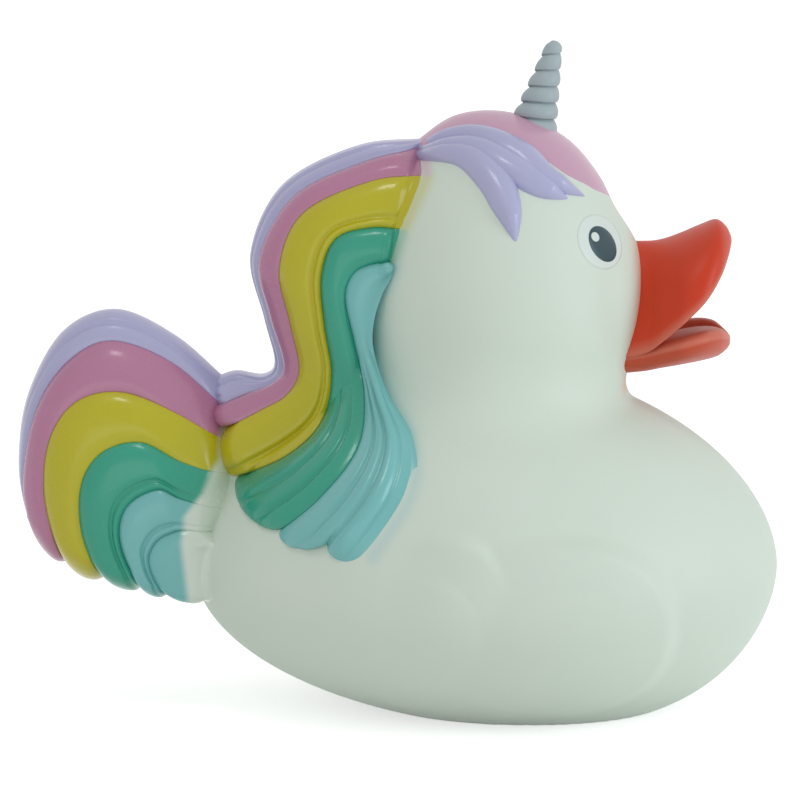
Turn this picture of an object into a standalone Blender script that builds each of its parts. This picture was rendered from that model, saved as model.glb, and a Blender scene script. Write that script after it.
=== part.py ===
"""Bath duck with a flowing banded mane and tail, a spiral horn and an open bill.

It is one hollow vinyl moulding, painted in fields of colour, so it is one solid here.
Sizes are millimetres. The duck faces +X, +Z is up, and y = 0 is its mirror plane.
The origin is the middle of the flat face that it stands on.
"""

import bmesh
import bpy
import numpy as np

MM = 0.001
WELD = 0.001
SHARP_DEGREES = 50

# Body: an egg that stands on a flat face.
BODY_LENGTH = 85.0
BODY_WIDTH = 70.0
BACK_HEIGHT = 49.4
WIDEST_HEIGHT = 20.5
BELLY_CUT = 3.0
BELLY_FORWARD = 8.0
BACK_SQUARENESS = 1.83
BELLY_SQUARENESS = 2.08
BREAST_SQUARENESS = 1.88
RUMP_FILLET = 3.0

# Head: a taller egg that sinks into the back, a little ahead of the middle.
HEAD_LENGTH = 40.0
HEAD_WIDTH = 39.0
HEAD_CENTRE_X = 1.5
HEAD_ABOVE_BACK = 8.6
HEAD_HALF_HEIGHT = 26.6
HEAD_SQUARENESS = 2.05
CHEEK_FILLET = 4.0
THROAT_FILLET = 3.6
NAPE_FILLET = 9.0
HAIR_FILLET = 16.0

# Relief heights over the smooth skin, and how deep the relief's roots run under it.
WING_LIFT = 2.2
FEATHER_STEP = 0.3
FEATHER_ROOT = 3.0
HAIR_LIFT = 1.3
HAIR_BLEND = 1.5
RIDGE_LIFT = 0.9
LOCK_GROOVE = 0.5
END_SCALLOP = 0.025
LOCK_LIFT = 1.5
LOCK_WIDTH = 4.7
LOCK_ROOT = 0.4
CROWN_LIFT = 1.5
CROWN_WIDTH = 12.0

# Horn
HORN_LENGTH = 12.4
HORN_ROOT = 3.0
HORN_BASE_RADIUS = 4.0
HORN_TIP_RADIUS = 1.1
HORN_PITCH = 2.35
HORN_LEAN = 0.245
HORN_GROOVE = 0.16

# Bill
BILL_REACH = 13.7
BILL_WIDTH = 24.0
BILL_HEIGHT = 18.3
BILL_THICKNESS = 2.2
MOUTH_DROP = 5.8
MOUTH_DEPTH = 3.0

# Painted eye, moulded a hair proud of the cheek
EYE_LENGTH = 5.6
EYE_WIDTH = 3.6
EYE_SLANT = (-0.45, 0.9)
EYE_LIFT = 0.25
EYE_ROOT = 0.6
GLINT_SHARE = 0.25

PAINTS = {
    "vinyl_white": ((0.80, 0.83, 0.79), 0.42),
    "hair_lilac": ((0.56, 0.53, 0.78), 0.32),
    "hair_pink": ((0.68, 0.30, 0.50), 0.32),
    "hair_yellow": ((0.78, 0.65, 0.05), 0.32),
    "hair_green": ((0.05, 0.48, 0.34), 0.32),
    "hair_turquoise": ((0.23, 0.62, 0.66), 0.34),
    "horn_grey": ((0.36, 0.40, 0.41), 0.38),
    "beak_orange": ((0.60, 0.08, 0.03), 0.38),
    "eye_dark": ((0.02, 0.03, 0.04), 0.25),
}

BODY_HALF = np.array([BODY_LENGTH / 2, BODY_WIDTH / 2])
BODY_UP = BACK_HEIGHT - WIDEST_HEIGHT
BODY_DOWN = WIDEST_HEIGHT + BELLY_CUT
HEAD_CENTRE_Z = BACK_HEIGHT + HEAD_ABOVE_BACK
HEAD_HALF = np.array([HEAD_LENGTH / 2, HEAD_WIDTH / 2, HEAD_HALF_HEIGHT])


# Placing: points given as shares of the head or of the body stay on them when a size changes.


def on_head(*shares):
    centre = np.array([HEAD_CENTRE_X, HEAD_CENTRE_Z])
    return centre + np.array(shares) * HEAD_HALF[[0, 2]]


def on_body(*shares):
    centre = np.array([0.0, WIDEST_HEIGHT])
    return centre + np.array(shares) * [BODY_HALF[0], BODY_UP]


def through(points, share):
    """Smooth curve through the points (Catmull-Rom), read at shares 0 to 1 of its spans."""
    points = np.asarray(points, float)
    padded = np.vstack([2 * points[0] - points[1], points, 2 * points[-1] - points[-2]])
    place = np.clip(share, 0, 1) * (len(points) - 1)
    span = np.minimum(place.astype(int), len(points) - 2)
    t = (place - span)[..., None]
    p0, p1, p2, p3 = (padded[span + k] for k in range(4))
    return 0.5 * (
        2 * p1
        + (p2 - p0) * t
        + (2 * p0 - 5 * p1 + 4 * p2 - p3) * t**2
        + (3 * p1 - p0 - 3 * p2 + p3) * t**3
    )


# The smooth skin, as a field that is negative inside


def egg(x, y, z, half, power=2.0):
    """Depth under an egg whose side view is a squared oval: distance times (1 - 1 / F)."""
    profile = (np.abs(x / half[0]) ** power + np.abs(z / half[2]) ** power) ** (2 / power)
    size = np.sqrt(np.maximum(profile + (y / half[1]) ** 2, 1e-9))
    return np.sqrt(x**2 + y**2 + z**2) * (1 - 1 / size)


def smooth_least(a, b, radius):
    """The smaller of two depths, with a fillet where they are close."""
    near = np.clip(0.5 + 0.5 * (b - a) / radius, 0, 1)
    return b + (a - b) * near - radius * near * (1 - near)


def skin_depth(x, y, z, fillet=None):
    """Body, head, the swelling behind the bill, and the rump that carries mane and tail."""
    rise = z - WIDEST_HEIGHT
    half_height = np.where(rise > 0, BODY_UP, BODY_DOWN)
    x_body = x - BELLY_FORWARD * np.clip(-rise / BODY_DOWN, 0, 1) ** 2
    forward = np.clip(x_body / BODY_HALF[0], 0, 1)
    below = BELLY_SQUARENESS + (BREAST_SQUARENESS - BELLY_SQUARENESS) * forward
    power = np.where(rise > 0, BACK_SQUARENESS, below)
    body = egg(x_body, y, rise, (BODY_HALF[0], BODY_HALF[1], half_height), power)
    head = egg(x - HEAD_CENTRE_X, y, z - HEAD_CENTRE_Z, HEAD_HALF, HEAD_SQUARENESS)
    cheek_x, cheek_z = on_head((0.82, 0.06))[0]
    cheek = egg(x - cheek_x, y, z - cheek_z, HEAD_HALF * [0.25, 0.46, 0.30])
    rump_x, rump_z = on_body((-0.84, 0.55))[0]
    rump_half = (0.15 * BODY_HALF[0], 0.20 * BODY_HALF[1], 0.33 * BODY_UP)
    rump = egg(x - rump_x, y, z - rump_z, rump_half)
    if fillet is None:
        ahead = np.clip((x - HEAD_CENTRE_X) / HEAD_HALF[0], 0, 1) ** 2
        fillet = NAPE_FILLET + (THROAT_FILLET - NAPE_FILLET) * ahead
    head = smooth_least(head, cheek, CHEEK_FILLET)
    return smooth_least(smooth_least(body, head, fillet), rump, RUMP_FILLET)


def found(depth_at, far):
    """The distance at which each ray leaves the skin, by halving."""
    near = np.zeros_like(far)
    for _ in range(32):
        middle = (near + far) / 2
        inside = depth_at(middle) < 0
        near = np.where(inside, middle, near)
        far = np.where(inside, far, middle)
    return near


def skin_half_width(x, z, fillet=None):
    """Half the skin's width at a point of the side view, and 0 outside its outline."""
    far = np.full(np.shape(x), BODY_WIDTH)
    return found(lambda y: skin_depth(x, y, z, fillet), far)


# Meshes


def ring_faces(rows, columns):
    """Four-sided faces between rings, then a fan to one point at each end."""
    faces = []
    first, last = rows * columns, rows * columns + 1
    for j in range(columns):
        k = (j + 1) % columns
        for i in range(rows - 1):
            below, above = i * columns, (i + 1) * columns
            faces.append((below + j, below + k, above + k, above + j))
        faces.append((k, j, first))
        faces.append(((rows - 1) * columns + j, (rows - 1) * columns + k, last))
    return faces


def add_mesh(name, points, faces, paints, paint_of_face=None):
    mesh = bpy.data.meshes.new(name)
    mesh.from_pydata((np.asarray(points) * MM).tolist(), [], faces)
    for paint in paints:
        mesh.materials.append(MATERIALS[paint])
    if paint_of_face is not None:
        mesh.polygons.foreach_set("material_index", paint_of_face)
    obj = bpy.data.objects.new(name, mesh)
    bpy.context.scene.collection.objects.link(obj)
    work = bmesh.new()
    work.from_mesh(mesh)
    bmesh.ops.remove_doubles(work, verts=work.verts, dist=WELD * MM)
    bmesh.ops.recalc_face_normals(work, faces=work.faces)
    work.to_mesh(mesh)
    work.free()
    mesh.shade_smooth()
    mesh.set_sharp_from_angle(angle=np.radians(SHARP_DEGREES))
    return obj


def tube(name, rings, paint):
    """A closed body through rings of points, with a point at the middle of each end."""
    rings = np.asarray(rings)
    rows, columns, _ = rings.shape
    ends = [rings[0].mean(axis=0), rings[-1].mean(axis=0)]
    points = np.vstack([rings.reshape(-1, 3), ends])
    return add_mesh(name, points, ring_faces(rows, columns), [paint])


def make_skin():
    """Body and head as one skin, blown out from a point in the neck."""
    around, down = 50, 34
    heart = np.array([HEAD_CENTRE_X, 0.0, HEAD_CENTRE_Z - 0.6 * HEAD_HALF[2]])
    polar = np.linspace(0, np.pi, down + 2)[1:-1, None]
    turn = np.linspace(0, 2 * np.pi, around, endpoint=False)[None, :]
    way = np.stack(
        [np.sin(polar) * np.cos(turn), np.sin(polar) * np.sin(turn), np.cos(polar) + 0 * turn]
    )

    def reach(way):
        far = np.full(way.shape[1:], BODY_LENGTH)
        out = found(lambda r: skin_depth(*(heart[:, None, None] + way * r)), far)
        return heart[:, None, None] + way * out

    rings = reach(way)
    top = reach(np.array([0.0, 0.0, 1.0]).reshape(3, 1, 1))[:, 0, 0]
    bottom = reach(np.array([0.0, 0.0, -1.0]).reshape(3, 1, 1))[:, 0, 0]
    points = np.vstack([rings.transpose(1, 2, 0).reshape(-1, 3), top, bottom])
    return add_mesh("duck", points, ring_faces(down, around), ["vinyl_white"])


def make_feather(name, side, centre, half, lift):
    """A raised oval that follows the body's side: it rises steeply at its rim, then levels."""
    rings_out, around = 4, 20
    share = np.sin(np.linspace(0.2, 1, rings_out) * np.pi / 2)
    turn = np.linspace(0, 2 * np.pi, around, endpoint=False)
    cos, sin = np.cos(turn), np.sin(turn)
    x = centre[0] + half[0] * share[:, None] * np.sign(cos) * np.abs(cos) ** 0.87
    z = centre[1] + half[1] * share[:, None] * np.sign(sin) * np.abs(sin) ** 0.87
    under = skin_half_width(x, z)
    fade = 0.6 + 0.3 * (x - centre[0]) / half[0] + 0.3 * (z - centre[1]) / half[1]
    dome = np.sqrt(np.clip(1 - share[:, None] ** 4, 0, 1))
    height = FEATHER_STEP + lift * np.clip(fade, 0, 1) * dome
    outer = np.stack([x, side * (under + height), z], axis=-1)
    inner = np.stack([x, side * (under - FEATHER_ROOT), z], axis=-1)
    return tube(name, np.concatenate([outer, inner[::-1]]), "vinyl_white")


def make_wings():
    feathers = []
    for side in (-1, 1):
        shapes = (((0.20, -0.15), (0.41, 0.47), 1.0), ((-0.13, -0.05), (0.20, 0.38), 0.8),
                  ((-0.20, -0.19), (0.17, 0.34), 0.6))
        for k, (centre, half, lift) in enumerate(shapes):
            place = on_body(centre)[0]
            size = np.array(half) * [BODY_HALF[0], BODY_UP]
            feathers.append(make_feather(f"feather {k} {side}", side, place, size, lift * WING_LIFT))
    return feathers


# Mane and tail: the edges of their strands run side by side in the side view.


def mane_edges():
    crest = [*on_head((-0.48, 0.91), (-1.00, 0.87), (-1.54, 0.66), (-1.775, 0.29), (-1.68, -0.06)),
             *on_body((-0.72, 1.02), (-0.76, 0.95), (-0.85, 0.97), (-0.92, 0.94))]
    lilac = [*on_head((-0.54, 0.87), (-0.95, 0.79), (-1.44, 0.61), (-1.70, 0.28), (-1.63, -0.02)),
             *on_body((-0.68, 1.03), (-0.72, 0.93), (-0.82, 0.87), (-0.92, 0.81))]
    pink = [*on_head((-0.50, 0.73), (-0.90, 0.70), (-1.38, 0.53), (-1.55, 0.24), (-1.48, -0.05)),
            *on_body((-0.63, 1.02), (-0.67, 0.89), (-0.76, 0.81), (-0.89, 0.71))]
    yellow = [*on_head((-0.67, 0.45), (-0.90, 0.46), (-1.15, 0.40), (-1.25, 0.20), (-1.23, -0.06)),
              *on_body((-0.52, 1.00), (-0.55, 0.78), (-0.66, 0.65), (-0.84, 0.49))]
    green = [*on_head((-0.75, 0.27), (-0.88, 0.27), (-1.02, 0.22), (-1.08, 0.09), (-1.02, -0.14)),
             *on_body((-0.41, 0.92), (-0.44, 0.73), (-0.55, 0.54), (-0.69, 0.36))]
    blue = [*on_head((-0.72, 0.27), (-0.77, 0.18), (-0.82, 0.11), (-0.88, -0.04), (-0.88, -0.20)),
            *on_body((-0.33, 0.92), (-0.25, 0.74), (-0.25, 0.54), (-0.39, 0.25))]
    return [crest, lilac, pink, yellow, green, blue]


def tail_edges():
    crest = on_body((-0.88, 0.92), (-1.06, 1.15), (-1.26, 1.28), (-1.44, 1.17), (-1.56, 0.86),
                    (-1.595, 0.54), (-1.575, 0.28))
    lilac = on_body((-0.86, 0.76), (-1.05, 1.02), (-1.26, 1.14), (-1.41, 1.04), (-1.52, 0.80),
                    (-1.57, 0.43), (-1.54, 0.14))
    pink = on_body((-0.84, 0.61), (-1.05, 0.80), (-1.23, 0.90), (-1.38, 0.85), (-1.47, 0.66),
                   (-1.49, 0.37), (-1.43, 0.00))
    yellow = on_body((-0.83, 0.47), (-1.02, 0.56), (-1.16, 0.66), (-1.29, 0.61), (-1.36, 0.45),
                     (-1.36, 0.20), (-1.29, -0.07))
    green = on_body((-0.84, 0.30), (-1.02, 0.38), (-1.10, 0.43), (-1.19, 0.37), (-1.23, 0.26),
                    (-1.22, 0.11), (-1.15, -0.11))
    blue = on_body((-0.88, 0.20), (-1.01, 0.23), (-1.07, 0.21), (-1.11, 0.17), (-1.135, 0.09),
                   (-1.12, -0.01), (-1.07, -0.13))
    curl = on_body((-0.88, 0.11), (-0.93, 0.12), (-0.97, 0.11), (-0.98, 0.05), (-0.98, -0.02),
                   (-0.97, -0.06), (-0.93, -0.15))
    return [crest, lilac, pink, yellow, green, blue, curl]


def hair(name, edges, reaches, strands, along, ends):
    """Strands between their edges: a near sheet, its mirror image, and walls that join the two.

    A strand is (paint, rows across it, locks it parts into, share of its length where it parts,
    lobes that it ends in). The reaches are the half widths of the free hair at the edges.
    """
    rows_of = [rows for _, rows, _, _, _ in strands]
    strand = np.append(np.repeat(np.arange(len(strands)), rows_of), len(strands) - 1)
    t = np.append(np.concatenate([np.arange(rows) / rows for rows in rows_of]), 1.0)[:, None]
    locks, parting, lobes = np.array([row[2:] for row in strands], float)[strand].T[:, :, None]
    first = (strand == 0)[:, None]
    last = (strand == len(strands) - 1)[:, None]

    share = 0.5 - 0.5 * np.cos(np.linspace(0, np.pi, along))[None, :]
    scallop = END_SCALLOP * (1 - np.abs(np.sin(lobes * np.pi * t)) ** 0.6)
    place = share * (1 - scallop * share**4)
    upper = np.array([through(edges[k], row) for k, row in zip(strand, place)])
    lower = np.array([through(edges[k + 1], row) for k, row in zip(strand, place)])
    down = np.where(first, 1 - np.cos(t * np.pi / 2), t)
    x, z = np.moveaxis(upper + (lower - upper) * down[..., None], -1, 0)

    out = np.where(first, np.sin(t * np.pi / 2), t)
    free = np.interp(strand[:, None] + out, np.arange(len(reaches)), reaches)
    start = np.sqrt(np.clip(1 - np.clip(1 - share / ends[0], 0, 1) ** 2, 0.3, 1))
    finish = np.sqrt(np.clip(1 - np.clip((share - 1) / ends[1] + 1, 0, 1) ** 2, 0.05, 1))
    soft = np.minimum(start, finish)
    under = skin_half_width(x, z, HAIR_FILLET)
    lift = HAIR_LIFT * soft * np.where(last, 1 - 0.7 * t**4, 1)
    y = -smooth_least(-free * start * finish, -(under + lift * (under > 0)), HAIR_BLEND)
    y = y * (free > 0)

    bulge = 1 - np.abs(2 * t - 1) ** 2.5
    parted = np.clip((share - parting) / 0.25, 0, 1)
    valley = 1 - np.abs(np.sin(locks * np.pi * t)) ** 0.6
    relief = RIDGE_LIFT * np.where(first, 0, bulge) - LOCK_GROOVE * parted * valley * bulge
    sheet = lifted(np.stack([x, -y, z], axis=-1), relief * soft)

    rows = len(strand)
    mirrored = sheet[1:] * [1, -1, 1]
    points = np.vstack([sheet.reshape(-1, 3), mirrored.reshape(-1, 3)])
    faces, paint_of_face = sheet_faces(rows, along, strand)
    return add_mesh(name, points, faces, [row[0] for row in strands], paint_of_face)


def sheet_faces(rows, along, strand):
    """Faces of the two sheets and of the walls round them, each with its strand's number."""

    def near(i, j):
        return i * along + j

    def far(i, j):
        return near(i, j) if i == 0 else rows * along + (i - 1) * along + j

    faces, paint_of_face = [], []
    for i in range(rows - 1):
        for j in range(along - 1):
            faces.append((near(i, j), near(i, j + 1), near(i + 1, j + 1), near(i + 1, j)))
            faces.append((far(i, j), far(i + 1, j), far(i + 1, j + 1), far(i, j + 1)))
        for j in (0, along - 1):
            corners = [near(i, j), near(i + 1, j), far(i + 1, j), far(i, j)]
            faces.append(tuple(dict.fromkeys(corners)))
        paint_of_face += [int(strand[i])] * (2 * along)
    i = rows - 1
    for j in range(along - 1):
        faces.append((near(i, j), near(i, j + 1), far(i, j + 1), far(i, j)))
    paint_of_face += [int(strand[-1])] * (along - 1)
    return faces, paint_of_face


def lifted(points, height):
    """Each point moved out along the sheet's own normal by its height."""
    normal = np.cross(np.gradient(points, axis=1), np.gradient(points, axis=0))
    normal /= np.maximum(np.linalg.norm(normal, axis=-1, keepdims=True), 1e-9)
    normal = normal * np.where(normal[..., 1:2] > 0, -1, 1)
    return points + normal * height[..., None]


def make_mane():
    strands = (("hair_lilac", 6, 2, 0.0, 1), ("hair_pink", 4, 1, 1, 1), ("hair_yellow", 4, 1, 1, 1),
               ("hair_green", 6, 3, 0.62, 1), ("hair_turquoise", 8, 4, 0.55, 2))
    reaches = HEAD_HALF[1] * np.array([0, 0.26, 0.44, 0.56, 0.61, 0.64])
    return hair("mane", mane_edges(), reaches, strands, 27, (0.06, 0.05))


def make_tail():
    strands = (("hair_lilac", 4, 2, 0.0, 1), ("hair_pink", 3, 1, 1, 1), ("hair_yellow", 3, 1, 1, 1),
               ("hair_green", 3, 1, 1, 1), ("hair_turquoise", 3, 1, 1, 1),
               ("hair_turquoise", 3, 1, 1, 1))
    reaches = BODY_HALF[1] * np.array([0, 0.14, 0.24, 0.30, 0.33, 0.34, 0.34])
    return hair("tail", tail_edges(), reaches, strands, 22, (0.12, 0.10))


def lock_on_head(name, path, widths, side, columns=8, rows=11):
    """A tapering lock laid on the skin along a path of the side view."""
    share = np.linspace(0, 1, rows)
    line = through(path, share)
    width = through(widths[:, None], share)[:, 0]
    y = side * skin_half_width(line[:, 0], line[:, 1])
    middle = np.stack([line[:, 0], y, line[:, 1]], axis=1)
    out = skin_normal(middle)
    middle = middle - out * LOCK_ROOT
    along = np.gradient(middle, axis=0)
    along /= np.linalg.norm(along, axis=1, keepdims=True)
    across = np.cross(along, out)
    across /= np.linalg.norm(across, axis=1, keepdims=True)
    turn = np.linspace(0, 2 * np.pi, columns, endpoint=False)
    lift = (LOCK_LIFT + LOCK_ROOT) * np.minimum(1, width / widths[0])
    rings = (
        middle[:, None]
        + across[:, None] * (width[:, None] * np.cos(turn))[..., None]
        + out[:, None] * (lift[:, None] * np.sin(turn))[..., None]
    )
    return tube(name, rings, "hair_lilac")


def skin_normal(points):
    step = 0.05
    slope = []
    for axis in range(3):
        ahead, behind = points.copy(), points.copy()
        ahead[:, axis] += step
        behind[:, axis] -= step
        slope.append(skin_depth(*ahead.T) - skin_depth(*behind.T))
    normal = np.stack(slope, axis=1)
    return normal / np.linalg.norm(normal, axis=1, keepdims=True)


def make_forelock():
    """Three tapering locks on each side of the forehead."""
    upper = on_head((-0.66, 0.80), (-0.20, 0.93), (0.15, 0.86), (0.36, 0.75), (0.60, 0.635))
    middle = on_head((-0.66, 0.77), (-0.20, 0.86), (0.07, 0.77), (0.30, 0.68), (0.48, 0.62))
    lower = on_head((-0.66, 0.73), (-0.25, 0.81), (-0.06, 0.71), (0.05, 0.57), (0.11, 0.42))
    locks = []
    for side in (-1, 1):
        for k, path in enumerate((upper, middle, lower)):
            widths = LOCK_WIDTH / 2 * np.array([0.8, 1.0, 0.95, 0.75, 0.13])
            locks.append(lock_on_head(f"lock {k} {side}", path, widths, side))
    return locks


def make_crown():
    """The pink lock over the crown, from the mane to the forehead."""
    path = on_head((-0.58, 0.83), (-0.27, 0.98), (0.10, 0.99), (0.45, 0.875), (0.70, 0.69))
    share = np.linspace(0, 1, 14)
    line = through(path, share)
    width = CROWN_WIDTH / 2 * through([[0.67], [0.92], [1.0], [0.87], [0.33]], share)[:, 0]
    height = CROWN_LIFT * through([[0.9], [1.0], [1.0], [1.0], [0.4]], share)[:, 0]
    along = np.gradient(line, axis=0)
    along /= np.linalg.norm(along, axis=1, keepdims=True)
    up = np.stack([-along[:, 1], along[:, 0]], axis=1)
    turn = np.linspace(0, 2 * np.pi, 12, endpoint=False)
    y = width[:, None] * np.cos(turn)
    rise = height[:, None] * np.sin(turn) - y**2 / HEAD_WIDTH
    x = line[:, :1] + up[:, :1] * rise
    z = line[:, 1:] + up[:, 1:] * rise
    return tube("crown", np.stack([x, y, z], axis=-1), "hair_pink")


def make_horn():
    """A leaning cone with one rounded ridge wound round it."""
    rows, columns = 33, 14
    share = np.linspace(0, 1, rows)[:, None]
    turn = np.linspace(0, 2 * np.pi, columns, endpoint=False)[None, :]
    radius = HORN_BASE_RADIUS + (HORN_TIP_RADIUS - HORN_BASE_RADIUS) * share
    height = share * (HORN_LENGTH + HORN_ROOT)
    phase = (height / HORN_PITCH - turn / (2 * np.pi)) % 1.0
    groove = HORN_GROOVE * np.abs(2 * phase - 0.7) ** 2
    tip = np.sqrt(np.clip(1 - np.clip((share - 0.93) / 0.07, 0, 1) ** 2, 0.02, 1))
    radius = radius * (1 - groove) * tip
    side = radius * np.cos(turn)
    rise = height - HORN_ROOT + 0 * turn
    foot_x, foot_z = on_head((0.265, 0.98))[0]
    x = foot_x + side * np.cos(HORN_LEAN) + rise * np.sin(HORN_LEAN)
    z = foot_z - side * np.sin(HORN_LEAN) + rise * np.cos(HORN_LEAN)
    return tube("horn", np.stack([x, radius * np.sin(turn), z], axis=-1), "horn_grey")


def bill_shell(name, sections):
    """A curved shell through sections: shares of the reach, height, height and half width.

    The two heights are those of the section's middle and of its lip above the mouth's corner.
    """
    rows, half_count = 14, 10
    share = np.linspace(0, 1, rows)
    size = np.array([BILL_REACH, BILL_HEIGHT, BILL_HEIGHT, BILL_WIDTH / 2])
    reach, middle, lip, wide = (through(sections, share) * size).T[:, :, None]
    angle = np.linspace(-np.pi / 2, np.pi / 2, half_count)[None, :]
    solid_tip = 0.5 + 0.49 * share[:, None] ** 8
    thick = np.minimum(BILL_THICKNESS, solid_tip * np.minimum(np.abs(middle - lip), wide))
    inner_middle = middle + np.sign(lip - middle) * thick
    outer_y, inner_y = wide * np.sin(angle), (wide - thick) * np.sin(-angle)
    outer_z = lip + (middle - lip) * np.cos(angle)
    inner_z = lip + (inner_middle - lip) * np.cos(angle)
    y = np.concatenate([outer_y, inner_y], axis=1)
    z = np.concatenate([outer_z, inner_z], axis=1)
    corner = on_head((1.0, 0.0))[0] - [0.0, MOUTH_DROP]
    return tube(name, np.stack([corner[0] + reach + 0 * y, y, corner[1] + z], axis=-1), "beak_orange")


def make_bill():
    """Upper and lower bill; both run back into the head and meet at the corners of the mouth."""
    upper = [(-0.36, 0.70, -0.10, 0.62), (0.06, 0.83, -0.02, 0.80), (0.26, 0.84, 0.10, 0.93),
             (0.47, 0.89, 0.25, 1.00), (0.69, 0.96, 0.41, 0.93), (0.85, 1.00, 0.58, 0.72),
             (0.95, 0.95, 0.72, 0.42), (1.00, 0.88, 0.81, 0.16)]
    lower = [(-0.36, -0.23, -0.05, 0.60), (0.06, -0.20, 0.02, 0.76), (0.26, -0.17, 0.08, 0.87),
             (0.47, -0.14, 0.13, 0.92), (0.69, -0.11, 0.17, 0.84), (0.86, -0.08, 0.17, 0.62),
             (0.96, -0.03, 0.12, 0.36), (1.00, 0.00, 0.09, 0.16)]
    return [bill_shell("upper bill", upper), bill_shell("lower bill", lower)]


def make_mouth():
    """A low swelling that closes the throat between the two halves of the bill."""
    middle_x, middle_z = on_head((1.0, 0.0))[0] - MOUTH_DEPTH * np.array([0.5, 0.0])
    half = np.array([MOUTH_DEPTH, 0.37 * BILL_WIDTH, 0.45 * BILL_HEIGHT])
    polar = np.linspace(0.2, np.pi - 0.2, 7)[:, None]
    turn = np.linspace(0, 2 * np.pi, 14, endpoint=False)[None, :]
    x = middle_x + half[0] * np.sin(polar) * np.cos(turn)
    y = half[1] * np.sin(polar) * np.sin(turn)
    z = middle_z + half[2] * np.cos(polar) + 0 * turn
    return tube("mouth", np.stack([x, y, z], axis=-1), "beak_orange")


def eye_oval(name, place, length, width, lift, side, paint, around=16):
    """An oval laid out in the side view and lifted off the skin in a low dome."""
    long_way = EYE_SLANT / np.linalg.norm(EYE_SLANT)
    short_way = np.array([long_way[1], -long_way[0]])
    share = np.array([0.1, 0.5, 0.85, 1.0])[:, None]
    turn = np.linspace(0, 2 * np.pi, around, endpoint=False)[None, :]
    a = length / 2 * share * np.cos(turn)
    b = width / 2 * share * np.sin(turn)
    x = place[0] + a * long_way[0] + b * short_way[0]
    z = place[1] + a * long_way[1] + b * short_way[1]
    dome = lift * np.sqrt(1 - 0.9 * share**2)
    under = skin_half_width(x, z)
    outer = np.stack([x, side * (under + dome), z], axis=-1)
    inner = np.stack([x, side * (under - EYE_ROOT), z], axis=-1)
    return tube(name, np.concatenate([outer, inner[::-1]]), paint)


def make_eyes():
    """On each cheek a dark oval, with a pale glint high on its front half."""
    place = on_head((0.71, 0.38))[0]
    glint = place + [-0.14 * EYE_LENGTH, 0.19 * EYE_LENGTH]
    eyes = []
    for side in (-1, 1):
        eyes.append(eye_oval(f"eye {side}", place, EYE_LENGTH, EYE_WIDTH, EYE_LIFT, side, "eye_dark"))
        size = GLINT_SHARE * EYE_WIDTH
        eyes.append(eye_oval(f"glint {side}", glint, size, size, 2 * EYE_LIFT, side, "vinyl_white", 8))
    return eyes


def make_materials():
    made = {}
    for name, (colour, roughness) in PAINTS.items():
        material = bpy.data.materials.new(name)
        material.use_nodes = True
        shader = material.node_tree.nodes["Principled BSDF"]
        shader.inputs["Base Color"].default_value = (*colour, 1.0)
        shader.inputs["Roughness"].default_value = roughness
        shader.inputs["Metallic"].default_value = 0.0
        made[name] = material
    return made


def join(duck, other):
    modifier = duck.modifiers.new(other.name, "BOOLEAN")
    modifier.operation = "UNION"
    modifier.solver = "MANIFOLD"
    modifier.object = other
    other.hide_render = True
    other.display_type = "WIRE"


def cut_foot(duck):
    """Everything below the floor is cut away, which leaves the flat face that it stands on."""
    wide = BODY_LENGTH
    corners = [(x, y, z) for x in (-wide, wide) for y in (-wide, wide) for z in (-wide, 0.0)]
    faces = [(0, 1, 3, 2), (4, 6, 7, 5), (0, 4, 5, 1), (2, 3, 7, 6), (0, 2, 6, 4), (1, 5, 7, 3)]
    cutter = add_mesh("floor cut", corners, faces, ["vinyl_white"])
    modifier = duck.modifiers.new("floor", "BOOLEAN")
    modifier.operation = "DIFFERENCE"
    modifier.solver = "MANIFOLD"
    modifier.object = cutter
    cutter.hide_render = True
    cutter.display_type = "WIRE"


for old in list(bpy.data.objects):
    bpy.data.objects.remove(old)
MATERIALS = make_materials()
duck = make_skin()
for part in [*make_wings(), make_tail(), make_mane(), make_crown(), *make_forelock(),
             make_horn(), *make_bill(), make_mouth(), *make_eyes()]:
    join(duck, part)
cut_foot(duck)
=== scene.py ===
import bmesh
import bpy
import numpy as np
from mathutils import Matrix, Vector


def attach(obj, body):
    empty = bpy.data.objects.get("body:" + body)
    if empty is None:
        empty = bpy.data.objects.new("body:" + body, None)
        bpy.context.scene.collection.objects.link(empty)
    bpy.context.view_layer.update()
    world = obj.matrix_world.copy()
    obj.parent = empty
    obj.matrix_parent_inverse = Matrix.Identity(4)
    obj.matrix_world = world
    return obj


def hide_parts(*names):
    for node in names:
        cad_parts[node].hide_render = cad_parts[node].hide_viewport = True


# %% [markdown]
# # A bath duck with a painted mane
# The real duck is one hollow vinyl moulding. Its hair, horn and bill are moulded in relief and
# then painted, each colour up to the valley that parts it from the next. This lesson dresses the
# plain solid of the frame with surfaces worked out as functions of two parameters, one for each
# paint. That way is chosen because every colour border then lies in its own moulded valley.

# %% Load the frame
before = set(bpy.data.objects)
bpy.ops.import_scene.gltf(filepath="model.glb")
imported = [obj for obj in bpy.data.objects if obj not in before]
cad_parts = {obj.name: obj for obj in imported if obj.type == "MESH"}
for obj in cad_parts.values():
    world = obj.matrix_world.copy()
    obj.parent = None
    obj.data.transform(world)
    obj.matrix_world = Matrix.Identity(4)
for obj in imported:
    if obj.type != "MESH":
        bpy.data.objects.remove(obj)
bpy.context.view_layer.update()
MM = 0.001

# %% [markdown]
# ## The sizes that everything follows from
# Body and head are two eggs, one sunk into the other. A share of the head's or the body's half
# sizes names each place on them, so the hair stays where it grows when an egg changes size.

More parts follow.
